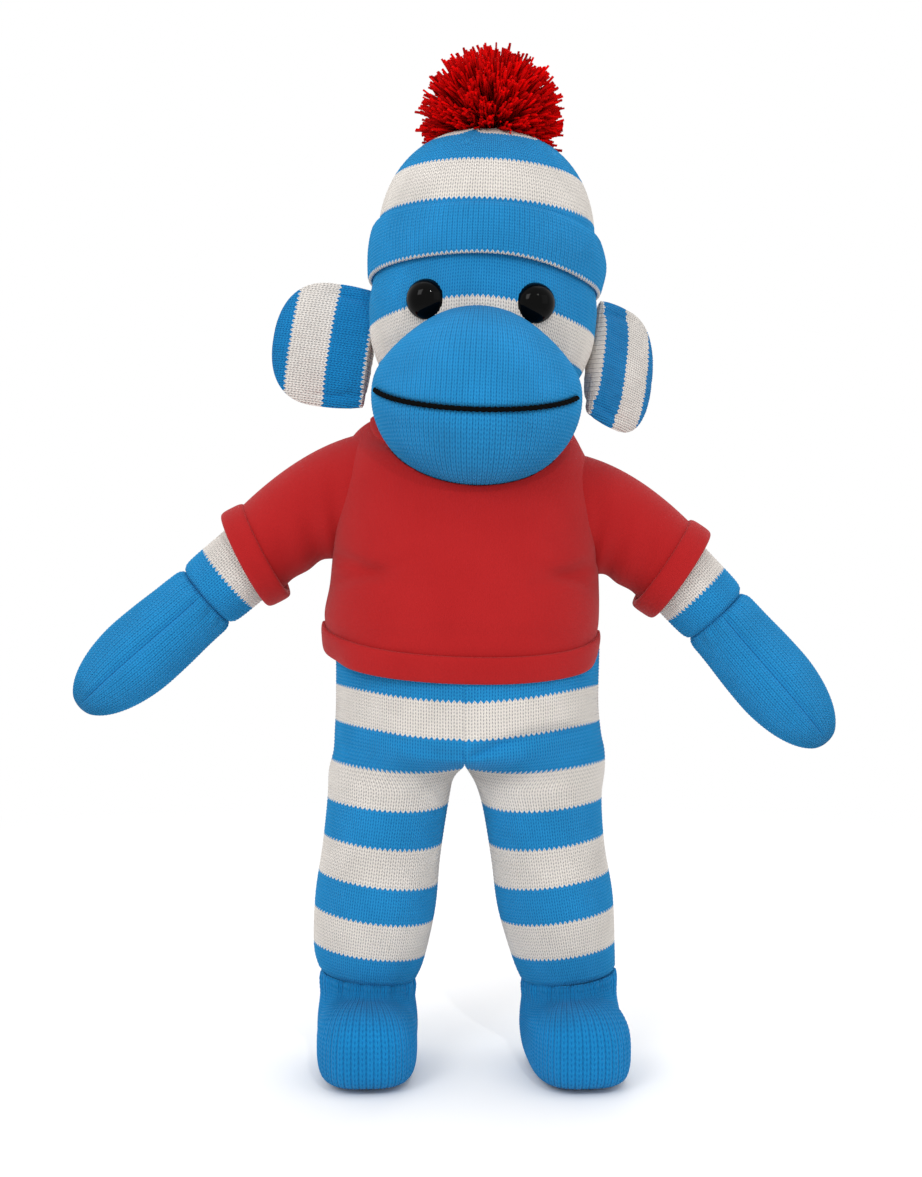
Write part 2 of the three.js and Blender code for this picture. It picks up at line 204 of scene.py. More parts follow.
def stitchHeight(u, v, rib):
    # each stitch is two legs that lean together: high on the legs' middles, low between them; rib runs from 0
    # for that to 1 for one rounded ridge a wale
    lean = np.abs(2 * (u % 1) - 1)
    legs = np.sin(np.pi * lean)
    ridge = 0.5 + 0.5 * np.cos(2 * np.pi * (v - knit["slant"] * lean))
    column = np.abs(np.sin(np.pi * u)) ** 0.8 * (0.85 + 0.15 * ridge)
    return legs * (0.45 + 0.55 * ridge) * (1 - rib) + column * rib


def knitPiece(name, points, wales, v, material, poles=True, relief=1.0, rib=0.0):
    # The surface raised along its normals by the height of its stitches, which fades out at a pole. wales is
    # how many go round evenly, or the wale at each grid column; v is the course at each row or grid point.
    rows, cols = points.shape[:2]
    if np.ndim(wales) == 0:
        wales = wales * np.arange(cols + 1) / cols
    u = np.broadcast_to(wales, (rows, cols + 1))
    v = np.broadcast_to(v if np.ndim(v) == 2 else v[:, None], (rows, cols + 1))
    across = np.linalg.norm(np.roll(points, -1, axis=1) - points, axis=2, keepdims=True)
    fade = smoothStep(across * knit["perWale"], 0.3, 1.3)
    height = stitchHeight(u[:, :cols], v[:, :cols], rib)[..., None] - 0.5
    raised = points + gridNormals(points) * height * knit["relief"] * relief * fade
    return gridMesh(name, raised, np.stack([u, v], axis=-1), material, poles=poles)


def band(name, ring, outward, upward, height, thick, turns=28):
    # a rounded strip of jersey carried round a ring: its section is a flattened loop, with the sum of
    # |n|^(10/3) and |h|^(10/3) at 1 in its own sizes
    t = np.arange(turns) * 2 * np.pi / turns
    n = np.sign(np.cos(t)) * np.abs(np.cos(t)) ** 0.6 * thick / 2
    h = np.sign(np.sin(t)) * np.abs(np.sin(t)) ** 0.6 * height / 2
    points = ring[None] + n[:, None, None] * outward[None] + h[:, None, None] * upward[None]
    section = np.append(lengthAlong(np.stack([n, h], axis=1)), 2 * (height + thick))
    return gridMesh(name, points, gridUv(lengthRound(ring), section), jersey, loop=True)


def describe(obj, nodes, body=None):
    # a piece put on its body, where it has one, with the nodes it stands for hidden
    if body:
        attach(obj, body)
    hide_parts(*nodes)


def mathNode(tree, operation, *values):
    # a Math node fed by numbers or sockets; gives back its output
    node = tree.nodes.new("ShaderNodeMath")
    node.operation = operation
    for socket, value in zip(node.inputs, values):
        if isinstance(value, (int, float)):
            socket.default_value = value
        else:
            tree.links.new(value, socket)
    return node.outputs[0]


def mixColor(tree, factor, a, b):
    # a Mix node between two colours, each a tuple or a socket; gives back its colour
    node = tree.nodes.new("ShaderNodeMix")
    node.data_type = "RGBA"
    for socket, value in zip((node.inputs[0], node.inputs[6], node.inputs[7]), (factor, a, b)):
        if isinstance(value, tuple):
            socket.default_value = value
        else:
            tree.links.new(value, socket)
    return node.outputs[2]


def noise(tree, place, scale, detail=2.0):
    # a Noise Texture on the place; gives back its value
    node = tree.nodes.new("ShaderNodeTexNoise")
    node.inputs["Scale"].default_value = scale
    node.inputs["Detail"].default_value = detail
    tree.links.new(place, node.inputs["Vector"])
    return node.outputs[0]


def objectPlace(tree):
    # the spot's place on its own object
    return tree.nodes.new("ShaderNodeTexCoord").outputs["Object"]


def stitchPlace(tree):
    # the spot's wale and course
    node = tree.nodes.new("ShaderNodeUVMap")
    node.uv_map = "stitches"
    return node.outputs[0]


def makeStitchGroup():
    # Stitches in courses of two yarns, with painted shade in the gaps between them. A gap is the product of
    # how far a spot is from the legs of its stitch and from the ridge of its course, so gaps are dots of
    # painted shade in staggered rows; Rib adds painted shade in the valley between wales.
    group = bpy.data.node_groups.new("stitches", "ShaderNodeTree")
    sockets = [("Stitch", "Vector"), ("Place", "Vector"), ("Ground", "Color"), ("Second", "Color"),
               ("Ground Gap", "Color"), ("Second Gap", "Color"), ("Period", "Float"), ("Start", "Float"),
               ("Share", "Float"), ("Fuzz", "Float"), ("Rib", "Float")]
    for label, kind in sockets:
        group.interface.new_socket(label, in_out="INPUT", socket_type="NodeSocket" + kind)
    for label, kind in (("Color", "Color"), ("Height", "Float")):
        group.interface.new_socket(label, in_out="OUTPUT", socket_type="NodeSocket" + kind)
    given = group.nodes.new("NodeGroupInput").outputs
    result = group.nodes.new("NodeGroupOutput").inputs
    calc = partial(mathNode, group)

    split = group.nodes.new("ShaderNodeSeparateXYZ")
    group.links.new(given["Stitch"], split.inputs[0])
    fuzz = noise(group, given["Place"], 1400.0, 3.0)
    wander = calc("MULTIPLY_ADD", fuzz, 0.4, -0.2)
    # the two legs of a stitch and the ridge that its course makes
    lean = calc("ABSOLUTE", calc("MULTIPLY_ADD", calc("FRACT", split.outputs[0]), 2.0, -1.0))
    legs = calc("SINE", calc("MULTIPLY", lean, math.pi))
    level = calc("SUBTRACT", split.outputs[1], calc("MULTIPLY", lean, knit["slant"]))
    ridge = calc("MULTIPLY_ADD", calc("COSINE", calc("MULTIPLY", level, 2 * math.pi)), 0.5, 0.5)
    yarn = calc("MULTIPLY", legs, calc("MULTIPLY_ADD", ridge, 0.55, 0.45))
    # the gaps, painted shade darker than the yarn
    offLegs = calc("SUBTRACT", 1.0, calc("MULTIPLY", legs, 0.92))
    dots = calc("MULTIPLY", offLegs, calc("POWER", calc("SUBTRACT", 1.0, ridge), 0.8))
    valley = calc("POWER", lean, 3.0)
    softer = calc("MULTIPLY_ADD", given["Rib"], -0.55, 1.0)
    gapShade = calc("MAXIMUM", calc("MULTIPLY", dots, softer), calc("MULTIPLY", valley, given["Rib"]))
    gapShade = calc("ADD", gapShade, calc("MULTIPLY", wander, 0.35))
    gapShade = calc("MAXIMUM", calc("MINIMUM", gapShade, 1.0), 0.0)
    # which of the two yarns the course is knitted in
    row = calc("SUBTRACT", split.outputs[1], calc("MULTIPLY", lean, knit["tooth"]))
    course = calc("FLOOR", calc("ADD", calc("ADD", row, 0.5), wander))
    part = calc("FRACT", calc("DIVIDE", calc("ADD", course, given["Start"]), given["Period"]))
    second = calc("LESS_THAN", part, given["Share"])
    lit = mixColor(group, second, given["Ground"], given["Second"])
    # the painted shade colour of the course's yarn, for its gaps
    deep = mixColor(group, second, given["Ground Gap"], given["Second Gap"])
    # faint patches and fibre grain in its brightness
    tone = calc("MULTIPLY_ADD", noise(group, given["Place"], 55.0), 0.34, 0.83)
    grain = calc("MULTIPLY_ADD", fuzz, 0.24, 0.88)
    bright = group.nodes.new("ShaderNodeVectorMath")
    bright.operation = "SCALE"
    group.links.new(mixColor(group, gapShade, lit, deep), bright.inputs[0])
    group.links.new(calc("MULTIPLY", tone, grain), bright.inputs[3])
    group.links.new(bright.outputs[0], result["Color"])
    column = calc("MULTIPLY", calc("SUBTRACT", 1.0, valley), given["Rib"])
    group.links.new(calc("ADD", yarn, calc("MULTIPLY_ADD", given["Fuzz"], fuzz, column)), result["Height"])
    return group


def basicMaterial(name, roughness, sheen=0.0, specular=0.5):
    # a Principled material whose even values sit on the shader's own sockets
    material = bpy.data.materials.new(name)
    material.use_nodes = True
    shader = material.node_tree.nodes["Principled BSDF"]
    shader.inputs["Roughness"].default_value = roughness
    shader.inputs["Sheen Weight"].default_value = sheen
    shader.inputs["Sheen Roughness"].default_value = 0.45
    shader.inputs["Specular IOR Level"].default_value = specular
    return material, material.node_tree, shader


def addBump(tree, shader, height, distance):
    # a Bump node between a height and the shader's Normal
    node = tree.nodes.new("ShaderNodeBump")
    node.inputs["Distance"].default_value = distance
    tree.links.new(height, node.inputs["Height"])
    tree.links.new(node.outputs[0], shader.inputs["Normal"])


stitchGroup = makeStitchGroup()

# each yarn and the shade between its stitches
yarns = {
    "cream": (0.79, 0.74, 0.685, 1), "creamGap": (0.17, 0.17, 0.18, 1),
    "blue": (0.018, 0.265, 0.57, 1), "blueGap": (0.0, 0.085, 0.30, 1),
    "deep": (0.008, 0.215, 0.50, 1), "deepGap": (0.0, 0.07, 0.26, 1),
}


def knitMaterial(name, start=0.0, share=0.5, period=2.0 * knit["stripe"], second="blue", rib=0.0):
    # the stitch group with its second yarn in a share of each period of courses
    material, tree, shader = basicMaterial(name, 0.95, sheen=0.06, specular=0.12)
    node = tree.nodes.new("ShaderNodeGroup")
    node.node_tree = stitchGroup
    tree.links.new(stitchPlace(tree), node.inputs["Stitch"])
    tree.links.new(objectPlace(tree), node.inputs["Place"])
    values = {"Ground": yarns["cream"], "Ground Gap": yarns["creamGap"], "Second": yarns[second],
              "Second Gap": yarns[second + "Gap"], "Period": period, "Start": start, "Share": share,
              "Fuzz": 0.35, "Rib": rib}
    for label, value in values.items():
        node.inputs[label].default_value = value
    tree.links.new(node.outputs["Color"], shader.inputs["Base Color"])
    addBump(tree, shader, node.outputs["Height"], 0.0004)
    return material


cloth = {"rib": 0.62, "row": 0.5, "dark": (0.32, 0.007, 0.008, 1), "light": (0.40, 0.013, 0.014, 1)}


def jerseyMaterial():
    # fine smooth jersey: faint ribs and rows, sines of the place on the cloth, with soft blotches and grain
    material, tree, shader = basicMaterial("redJersey", 0.88, sheen=0.08, specular=0.15)
    calc = partial(mathNode, tree)
    place = objectPlace(tree)
    split = tree.nodes.new("ShaderNodeSeparateXYZ")
    tree.links.new(stitchPlace(tree), split.inputs[0])
    ribs = calc("SINE", calc("MULTIPLY", split.outputs[0], 2 * math.pi / cloth["rib"]))
    rows = calc("SINE", calc("MULTIPLY", split.outputs[1], 2 * math.pi / cloth["row"]))
    weave = calc("MULTIPLY_ADD", rows, 0.35, ribs)
    height = calc("MULTIPLY_ADD", weave, 0.22, noise(tree, place, 2200.0, 3.0))
    blotch = calc("MULTIPLY_ADD", noise(tree, place, 38.0, 3.0), 0.9, -0.05)
    tree.links.new(mixColor(tree, blotch, cloth["dark"], cloth["light"]), shader.inputs["Base Color"])
    addBump(tree, shader, height, 0.00012)
    return material


def yarnMaterial(name, dark, light, specular):
    # cut or twisted yarn: its own shade attribute runs from dark to light, with fibre grain; on the pompom it
    # carries painted shade towards the tie
    material, tree, shader = basicMaterial(name, 0.85, specular=specular)
    shade = tree.nodes.new("ShaderNodeAttribute")
    shade.attribute_name = "shade"
    grain = noise(tree, objectPlace(tree), 1800.0)
    factor = mathNode(tree, "SUBTRACT", shade.outputs["Fac"], 0.2)
    factor = mathNode(tree, "MULTIPLY_ADD", grain, 0.4, factor)
    tree.links.new(mixColor(tree, factor, dark, light), shader.inputs["Base Color"])
    addBump(tree, shader, grain, 0.0003)
    return material


def plasticMaterial(name, color, light, roughness):
    # moulded plastic, faintly mottled in colour and polish
    material, tree, shader = basicMaterial(name, roughness, specular=0.08)
    mottle = noise(tree, objectPlace(tree), 260.0, 3.0)
    tree.links.new(mixColor(tree, mottle, color, light), shader.inputs["Base Color"])
    tree.links.new(mathNode(tree, "MULTIPLY_ADD", mottle, 0.06, roughness), shader.inputs["Roughness"])
    return material


stripedKnit = knitMaterial("stripedKnit")
plainBlue = knitMaterial("blueKnit", share=1.1, rib=0.3)
footBlue = knitMaterial("footKnit", share=1.1, second="deep", rib=0.4)
headStripes = knitMaterial("headStripes", period=29.0, share=18.0 / 29.0)
cuffKnit = knitMaterial("hatCuffKnit", period=80.0, share=0.9875, start=-3.0, rib=0.3)
earKnit = knitMaterial("earStripes", second="deep")
jersey = jerseyMaterial()
pompomYarn = yarnMaterial("pompomYarn", (0.10, 0.0, 0.0, 1), (0.72, 0.0, 0.0, 1), 0.05)
mouthYarn = yarnMaterial("mouthYarn", (0.0, 0.0, 0.0, 1), (0.004, 0.004, 0.004, 1), 0.04)
eyePlastic = plasticMaterial("eyePlastic", (0.0004, 0.0004, 0.0004, 1), (0.0006, 0.0006, 0.0006, 1), 0.04)
print("finishes made")

# the camera stands this far in front of the monkey, level, with a shift that frames it
view = {"aside": -3.2, "away": 580.0, "up": 184.0, "lens": 44.35, "shiftUp": 0.0098}
camera = bpy.data.objects.new("camera", bpy.data.cameras.new("camera"))
camera.location = ((middle[0] + view["aside"]) / 1000, (middle[1] - view["away"]) / 1000, view["up"] / 1000)
camera.rotation_euler = (math.pi / 2, 0, 0)
camera.data.lens = view["lens"]
camera.data.shift_y = view["shiftUp"]
camera.data.clip_start = 0.01
scene.collection.objects.link(camera)
scene.camera = camera

# metres from the monkey at which the matt floor starts to melt into the white round it, and has melted
stage = {"fadeFrom": 0.15, "fadeTo": 0.75, "level": -0.0003, "dark": (0.88, 0.88, 0.88, 1),
         "light": (0.92, 0.92, 0.92, 1)}


def makeFloor():
    # one large quad whose base colour gives way to plain white light with distance
    material, tree, shader = basicMaterial("paleFloor", 0.7, specular=0.0)
    black, white = (0, 0, 0, 1), (1, 1, 1, 1)
    place = objectPlace(tree)
    distance = tree.nodes.new("ShaderNodeVectorMath")
    distance.operation = "LENGTH"
    tree.links.new(place, distance.inputs[0])
    fade = tree.nodes.new("ShaderNodeMapRange")
    fade.interpolation_type = "SMOOTHSTEP"
    fade.inputs["From Min"].default_value = stage["fadeFrom"]
    fade.inputs["From Max"].default_value = stage["fadeTo"]
    tree.links.new(distance.outputs["Value"], fade.inputs["Value"])
    mottled = mixColor(tree, noise(tree, place, 3.0), stage["dark"], stage["light"])
    tree.links.new(mixColor(tree, fade.outputs[0], mottled, black), shader.inputs["Base Color"])
    tree.links.new(mixColor(tree, fade.outputs[0], black, white), shader.inputs["Emission Color"])
    shader.inputs["Emission Strength"].default_value = 1.0
    mesh = bpy.data.meshes.new("floor")
    corners = [(x, y, stage["level"]) for x, y in ((-6, -4), (6, -4), (6, 8), (-6, 8))]
    mesh.from_pydata(corners, [], [(0, 1, 2, 3)])
    mesh.materials.append(material)
    obj = bpy.data.objects.new("floor", mesh)
    scene.collection.objects.link(obj)
    return obj


floor = makeFloor()

world = bpy.data.worlds.new("studio")
world.use_nodes = True
world.node_tree.nodes["Background"].inputs[0].default_value = (1, 1, 1, 1)
world.node_tree.nodes["Background"].inputs[1].default_value = 1.0
scene.world = world
scene.view_settings.view_transform = "Standard"

# soft square lamps, all aimed at the monkey's waist; the small one makes the glints in the eyes
lights = {
    "key": {"at": (-0.6, -1.0, 0.9), "size": 0.5, "power": 5.0},
    "fill": {"at": (0.9, -0.8, 0.6), "size": 0.8, "power": 1.0},
    "top": {"at": (0.1, 0.3, 1.5), "size": 1.0, "power": 2.5},
    "back": {"at": (0.2, 1.3, 0.9), "size": 0.9, "power": 3.0},
    "glint": {"at": (0.16, -0.75, 0.72), "size": 0.025, "power": 1.2},
}
waist = np.array([0.0, 0.0, 0.2])
for name, light in lights.items():
    lamp = bpy.data.objects.new(name, bpy.data.lights.new(name, "AREA"))
    lamp.data.size = light["size"]
    lamp.data.energy = light["power"]
    lamp.location = light["at"]
    toward = unit(waist - np.array(light["at"]))
    lamp.rotation_euler = (math.acos(-toward[2]), 0, math.atan2(toward[1], toward[0]) - math.pi / 2)
    scene.collection.objects.link(lamp)
print("camera, floor and lights made")

legs = {
    "top": 166.0, "bottom": 34.7, "wales": 76, "seamX": -2.0, "parted": 111.0, "joined": 129.0,
    "overlap": 0.5, "sag": 5.0, "tilt": 0.13, "tuck": 0.045, "halfWidth": 54.0,
    # how deep the crease over each leg is: it runs outwards and up from the crotch
    "leftCrease": 1.9, "rightCrease": 0.7,
    # heights at the front where the yarn changes, from the ankle up, a stripe past either end
    "changes": [17.9, 31.8, 45.7, 59.6, 73.5, 88.3, 103.1, 118.1, 132.9, 147.0, 161.1],
    # height, inner edge, outer edge, half depth: the inner edge counts where the legs are parted
    "left": [(166, 0, 52, 39), (144, 0, 51.5, 39), (132, 0, 52.5, 38), (124, 0.6, 54, 34),
             (116, 1.2, 54, 28), (104, 5.2, 52.8, 24.5), (84, 8.8, 54, 22.8), (64, 11.6, 57.2, 22.8),
             (44, 17.4, 58, 20.4), (34.7, 21.2, 58.2, 18.8)],
    "right": [(166, 0, 53, 39), (144, 0, 53, 39), (132, 0, 53.5, 38), (124, 3.0, 54, 34),
              (116, 6.0, 55.8, 28), (104, 8.4, 56.4, 24.5), (84, 11.6, 58.4, 23.4), (64, 13.6, 61.2, 23.8),
              (44, 18.0, 61.8, 21.4), (34.7, 21.8, 59.4, 18.9)],
}


def makeLeg(name, sign):
    # Above the parting a ring is half an oval about the body; below it is a round leg. The knit's wales all
    # run down the outside of the oval and then right round the leg, which a seam closes on its inner side.
    rows = int((legs["top"] - legs["bottom"]) / knit["course"] * knit["perCourse"])
    cols = legs["wales"] * knit["perWale"]
    z, inner, outer, deep = throughPoints(legs[name], rows).T
    seam = legs["seamX"]
    start = seam - sign * legs["overlap"]
    outerX, innerX = (sign * outer)[:, None], (sign * inner)[:, None]
    centreX = (outerX + innerX) / 2
    apart = 1 - smoothStep(z, legs["parted"], legs["joined"])[:, None]
    half = np.pi * np.arange(cols) / cols
    whole = 2 * half - np.pi / 2
    x = (start + (outerX - start) * np.sin(half)) * (1 - apart)
    x = x + (centreX + (outerX - innerX) / 2 * np.sin(whole)) * apart
    y = deep[:, None] * (np.cos(half) * (1 - apart) + np.cos(whole) * apart)
    # the rows tilt outwards down the leg and sag in the middle of the body, front and back
    tilt = legs["tilt"] * (1 - smoothStep(z, 60, 130))[:, None]
    sag = legs["sag"] * smoothStep(z, 30, 140)[:, None]
    level = z[:, None] + tilt * sign * (x - centreX)
    level = level - sag * (1 - ((x - seam) / legs["halfWidth"]) ** 2) * (np.abs(y) / 40)
    fold = level - (125 + 0.26 * sign * x + 2.0 * np.sin(x / 11))
    reach = smoothStep(-y, 0, 20) * smoothStep(sign * x, -4, 3) * (1 - smoothStep(sign * x, 34, 50))
    y = y + legs[name + "Crease"] * reach * (bump(fold, 0, 2.0) - 0.5 * bump(fold, 5.5, 3.0))
    # the end turns in to the gathering thread
    points = np.stack([x, y, level], axis=-1)
    centre = np.stack([centreX + 0 * x, 0 * y, level], axis=-1)
    into = smoothStep(-z, -legs["bottom"] - 2.5, -legs["bottom"])[:, None, None] ** 2
    points = points + (centre - points) * into * legs["tuck"]
    points = np.concatenate([toMiddle(points[:1]), points, centre[-1:]])
    # the front's height says which stripe a row is in
    front = z - sag[:, 0] * (1 - ((centreX[:, 0] - seam) / legs["halfWidth"]) ** 2) * deep / 40
    v = knit["stripe"] * np.interp(front, legs["changes"], np.arange(len(legs["changes"])) - 1)
    v = v + np.maximum(front - legs["changes"][-1], 0) / knit["course"]
    v = np.concatenate([v[:1], v, v[-1:]])
    obj = knitPiece(name + "LegKnit", points + middle, legs["wales"], v, stripedKnit)
    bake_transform(obj)
    describe(obj, [name + "_leg_skin", name + "_leg_stuffing"])
    return obj


leftLeg = makeLeg("left", 1)
rightLeg = makeLeg("right", -1)
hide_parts("torso_skin", "torso_stuffing")
print("legs made")

feet = {
    "wales": 62, "courses": 50, "centre": (0, -6.0, 17.0), "ankleRound": 18.8, "crease": 18.1, "top": 34.9,
    "toe": (0, -14.0, 13.2), "toeSize": (19.3, 31.5, 16.4), "sole": 0.4, "melt": 4.0, "gathers": 0.05,
    "left": {"x": 39.9, "turn": 6.0, "slant": 0.1}, "right": {"x": -40.5, "turn": 3.0, "slant": -0.1},
}


def footDepth(p):
    # Below 0 inside. The ankle is a rounded post and the toe a block, |x|^3 + |y|^3 + |z|^3 = 1 in its own
    # sizes; where they meet they melt into each other, and the sole cuts them nearly flat.
    ankle = np.sqrt(p[..., 0] ** 2 + p[..., 1] ** 2 + (np.clip(p[..., 2] - 33, 0, None) * 1.5) ** 2
                    + (np.clip(16 - p[..., 2], 0, None)) ** 2) - feet["ankleRound"]
    toe = np.abs((p - feet["toe"]) / feet["toeSize"]) ** 3
    toe = (toe.sum(axis=-1) ** (1 / 3) - 1) * 19
    melt = feet["melt"]
    h = np.clip(0.5 + 0.5 * (toe - ankle) / melt, 0, 1)
    both = toe * (1 - h) + ankle * h - melt * h * (1 - h)
    sole = feet["sole"] - p[..., 2]
    h = np.clip(0.5 - 0.5 * (both - sole) / melt, 0, 1)
    return both * (1 - h) + sole * h + melt * h * (1 - h)


def footReach(direction):
    # how far the foot goes from its centre each way, by halving
    low, high = np.zeros(direction.shape[:-1]), np.full(direction.shape[:-1], 60.0)
    for _ in range(26):
        half = (low + high) / 2
        inside = footDepth(np.array(feet["centre"]) + half[..., None] * direction) < 0
        low, high = np.where(inside, half, low), np.where(inside, high, half)
    return low


def makeFoot(name):
    # rays from a point inside the foot, from the ankle's ring down to a pole under the sole, each as long as
    # the foot reaches that way
    facts = feet[name]
    cols = feet["wales"] * knit["perWale"]
    rows = int(feet["courses"] * knit["perCourse"])
    # columns an even way apart along the foot's outline
    dense = ringAngles(720)
    flat = np.stack([np.sin(dense), np.cos(dense), 0 * dense], axis=-1)
    along = lengthRound(flat * footReach(flat)[:, None])
    a = np.interp(np.arange(cols) / cols * along[-1], along, np.append(dense, 2 * np.pi))
    ring = np.stack([feet["crease"] * np.sin(a), feet["crease"] * np.cos(a), 0 * a + feet["top"]], axis=-1)
    toRing = ring - feet["centre"]
    topAngle = np.arctan2(toRing[:, 2], np.hypot(toRing[:, 0], toRing[:, 1]))
    change = (np.arctan2(toRing[:, 0], toRing[:, 1]) - a + np.pi) % (2 * np.pi) - np.pi
    t = np.linspace(0, 1, rows)[:, None]
    angle = topAngle * (1 - t) - np.pi / 2 * t
    way = a + change * (1 - smoothStep(t, 0, 0.35))
    direction = np.stack([np.cos(angle) * np.sin(way), np.cos(angle) * np.cos(way), np.sin(angle)], axis=-1)
    points = feet["centre"] + footReach(direction)[..., None] * direction
    tuck = (1 - smoothStep(t, 0, 0.055))[..., None]
    points = points * (1 - tuck) + ring * tuck
    # the ankle slants, and the thread gathers it into small folds
    points[..., 2] += facts["slant"] * points[..., 0] * smoothStep(points[..., 2], 22, 35)
    folds = (0.5 * np.cos(17 * a + 0.6) + 0.3 * np.cos(29 * a)) * smoothStep(t, 0, 0.03)
    points[..., :2] *= (1 - feet["gathers"] * folds * (1 - smoothStep(t, 0.03, 0.16)))[..., None]
    points = np.concatenate([[0, 0, feet["top"]] + 0 * points[:1], points])
    at = middle + np.array([facts["x"], 0, 0])
    v = np.concatenate([[0], np.linspace(0, feet["courses"], rows)])
    points = placed(points, turnedAbout("z", facts["turn"]), at)
    obj = knitPiece(name + "FootKnit", points, feet["wales"], -v, footBlue, rib=0.35)
    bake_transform(obj)
    nodes = [name + "_foot_skin", name + "_foot_stuffing", name + "_ankle_thread"]
    describe(obj, nodes)


makeFoot("left")
makeFoot("right")
print("feet made")

arms = {
    # down is how far the arm hangs below level, white where its off-white stripe ends, cuffDown the slope of
    # the sleeve's end and shoulder how high the sleeve starts
    "left": {"sign": 1, "down": 46.0, "handTurn": 3.0, "wrist": 72.0, "white": 60.5, "cuffDown": 34.0,
             "shoulder": -5.0},
    "right": {"sign": -1, "down": 40.0, "handTurn": 1.0, "wrist": 72.0, "white": 61.0, "cuffDown": 27.0,
              "shoulder": 0.8},
    "wales": 50, "from": 30.0, "radius": 15.4, "flat": 0.97,
    # distance from the wrist and how much the radius differs there
    "profile": [(-18, 0), (-7, -0.1), (-2.2, -0.6), (-0.3, -2), (0.3, -3.2)],
}
hands = {
    "long": 68.0, "deep": 0.86, "gathers": 0.035, "seam": 1.5,
    # distance from the wrist, half width
    "outline": [(0, 12.2), (1.2, 13.7), (5, 14.9), (14, 15.4), (26, 16.1), (38, 16.2), (48, 14.9), (56, 12.6),
                (62, 9.6), (66, 6.2), (67.6, 3.2), (68, 0)],
}


def armTurn(facts):
    # an arm's own -Z points from its shoulder to its hand
    return turnedAbout("y", -facts["sign"] * (90 - facts["down"]))


def armWay(facts):
    # the unit vector from its shoulder to its hand
    return armTurn(facts) @ np.array([0, 0, -1.0])


def makeArm(name):
    # a tube a little flatter than round whose radius follows the profile, drawn in at the wrist
    facts = arms[name]
    wrist, radius = facts["wrist"], arms["radius"]
    profile = [(arms["from"], radius + 0.4)] + [(wrist + d, radius + more) for d, more in arms["profile"]]
    d, r = throughPoints(profile, int((wrist - arms["from"]) / knit["course"] * 3)).T
    points = ringTube(r, r * arms["flat"], -d, arms["wales"] * knit["perWale"])
    points = np.concatenate([toAxis(points[:1]), points, toAxis(points[-1:])])
    v = (np.concatenate([d[:1], d, d[-1:]]) - facts["white"]) / knit["course"]
    points = placed(points, armTurn(facts), jointAt[name + "_arm_raise"])
    obj = knitPiece(name + "ArmKnit", points, arms["wales"], v, stripedKnit)
    nodes = [name + "_arm_skin", name + "_arm_stuffing", name + "_shoulder_thread"]
    describe(obj, nodes, name + "_arm")


def makeHand(name):
    # a mitten: a lathed outline flattened front to back, gathered at the wrist, with a seam down its front
    facts = arms[name]
    d, r = throughPoints(hands["outline"], int(hands["long"] * 1.12 / knit["course"] * 2.8)).T
    far = d[:, None]
    a = ringAngles(arms["wales"] * knit["perWale"])
    gathers = hands["gathers"] * np.cos(13 * a + 0.7) * (1 - smoothStep(far, 0.5, 9)) * smoothStep(far, 0, 2)
    wide = r[:, None] * (1 + gathers)
    flat = hands["deep"] + (1 - hands["deep"]) * (1 - smoothStep(far, 0, 16))
    groove = bump(a, np.pi, 0.09) * smoothStep(far, 1, 5) * (1 - smoothStep(far, 60, 68))
    y = wide * flat * np.cos(a) + hands["seam"] * groove
    points = np.stack([wide * np.sin(a), y, -far + 0 * y], axis=-1)
    points = np.concatenate([toAxis(points[:1]), points])
    points = placed(points, turnedAbout("y", facts["sign"] * facts["handTurn"]), [0, 0, -facts["wrist"]])
    points = placed(points, armTurn(facts), jointAt[name + "_arm_raise"])
    v = -np.concatenate([[0], lengthAlong(np.stack([d, r], axis=1))]) / knit["course"]
    obj = knitPiece(name + "HandKnit", points, arms["wales"], v, plainBlue, rib=0.35)
    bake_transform(obj)
    nodes = [name + "_hand_skin", name + "_hand_stuffing", name + "_wrist_thread"]
    describe(obj, nodes)


for name in ("left", "right"):
    makeArm(name)
    makeHand(name)
print("arms and hands made")

muzzle = {"centre": (0, -33.0, 8.9), "size": (40.0, 36.0, 34.4), "corner": 70.0, "narrow": 0.16, "wales": 82,
          "rows": 210, "span": 118.0, "backCols": 14, "mouthRise": 9.0, "mouthDrop": 9.1}
headTurn = turnedAbout("y", 2.5) @ turnedAbout("z", -2.0)
headAt = jointAt["head_nod"]

shirt = {
    "thick": 1.1, "cols": 260, "rows": 120, "tilt": 1.8, "girth": 320.0, "hemHeight": 10.5, "hemThick": 2.8,
    "collarHeight": 6.0, "collarThick": 2.4,
    # side height, middle x, half width, depth in front, depth behind, drop in front, drop behind
    "rings": [(173.0, -3.2, 54.0, 41.5, 41, 11.0, 5), (179, -2.9, 54.6, 43, 42, 10, 5),
              (189, -1.9, 53.8, 43.5, 42, 6, 3), (200, -1.6, 53.0, 42.5, 41, 3, 2),
              (213, -1.5, 52.4, 40.5, 39, 2, 1), (226, -1.3, 51.6, 37.5, 37, 2, 0),
              (238, -1.8, 49.6, 34.5, 34, 4, -1), (246, -2.2, 46.4, 32.5, 31.5, 8, -2),
              (251, -1.8, 43.4, 31.5, 29.5, 12, -3), (254.5, 0.3, 41.4, 31, 27.5, 16, -3),
              (256.6, 0.5, 37.6, 30.5, 26.5, 19, -2.5)],
    # side of the body, slope and height at the armpit of each crease that runs in from there
    "folds": [(1, 0.35, 198), (1, -0.25, 190), (-1, 0.4, 200), (-1, -0.2, 192)],
    "foldDeep": 1.9,
}
sleeve = {
    "rows": 70, "cols": 120, "girth": 135.0, "root": 14.0, "bend": 5.0, "end": 46.5,
    "above": 18.6, "below": (31.0, 18.2), "deep": (22.5, 18.4),  # half sizes, at the root and at the end
    "cuffHeight": 10.0, "cuffThick": 3.6, "cuffSize": (19.4, 19.0, 19.4), "folds": 0.7,
}


